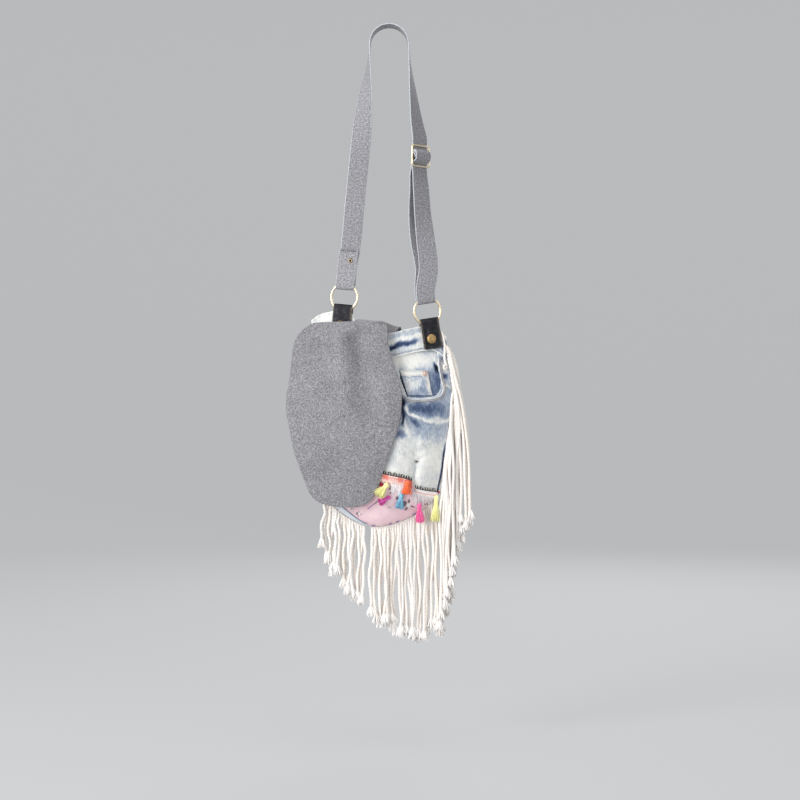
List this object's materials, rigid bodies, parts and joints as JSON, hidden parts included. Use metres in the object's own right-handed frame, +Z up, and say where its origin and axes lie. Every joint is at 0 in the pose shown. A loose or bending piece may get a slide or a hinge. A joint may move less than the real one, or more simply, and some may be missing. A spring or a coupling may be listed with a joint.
{
  "type": "fringe shoulder bag",
  "caption": "Slouchy shoulder bag with a washed denim front, grey felt back and flap, printed cotton base, small bright tassels, a cream rope fringe and a long ring-hung strap.",
  "frame": {"origin": "underside of the strap's round top, in the middle of its width, where it hangs on a peg or a shoulder", "axes": "+Z up along the hanging strap, -Y out of the bag's front, +X to the right as seen from the front"},
  "size_m": [0.3013, 0.0833, 0.9952],
  "materials": {
    "strap_wool": "woven wool mix, matt",
    "pale_gold": "polished pale gold plate",
    "antique_brass": "worn antique brass",
    "black_leather": "soft black leather with scuffed edges",
    "grey_felt": "felted wool melange",
    "pale_denim": "bleached cotton twill",
    "washed_denim": "washed indigo twill",
    "copper": "dull copper",
    "pink_cotton": "printed cotton",
    "grey_blue_band": "washed cotton twill",
    "black_lace": "overlocked thread",
    "coral_ribbon": "gathered ribbon",
    "white_ribbon": "gathered ribbon",
    "yellow_thread": "tassel thread",
    "magenta_thread": "tassel thread",
    "orange_thread": "tassel thread",
    "blue_thread": "tassel thread",
    "pink_thread": "tassel thread",
    "cream_rope": "twisted cotton rope with frayed ends"
  },
  "bodies": {
    "root": {"strap": "strap_wool", "strap_slider": "pale_gold", "strap_eyelet": "antique_brass", "ring_left": "pale_gold", "ring_right": "pale_gold", "tab_left": "black_leather", "tab_right": "black_leather", "stud_left": "antique_brass", "stud_right": "antique_brass", "back_panel": "grey_felt", "flap": "grey_felt", "waistband": "pale_denim", "front_panel": "washed_denim", "pocket_facing": "washed_denim", "coin_pocket": "washed_denim", "coin_rivet": "copper", "pink_panel": "pink_cotton", "edge_band": "grey_blue_band", "lace_left": "black_lace", "lace_right": "black_lace", "ribbon_left": "coral_ribbon", "ribbon_right": "white_ribbon", "tassel_yellow": "yellow_thread", "tassel_magenta": "magenta_thread", "tassel_orange": "orange_thread", "tassel_blue": "blue_thread", "tassel_pink": "pink_thread", "tassel_lemon": "yellow_thread", "fringe_left": "cream_rope", "fringe_middle": "cream_rope", "fringe_right": "cream_rope"}
  },
  "joints": []
}
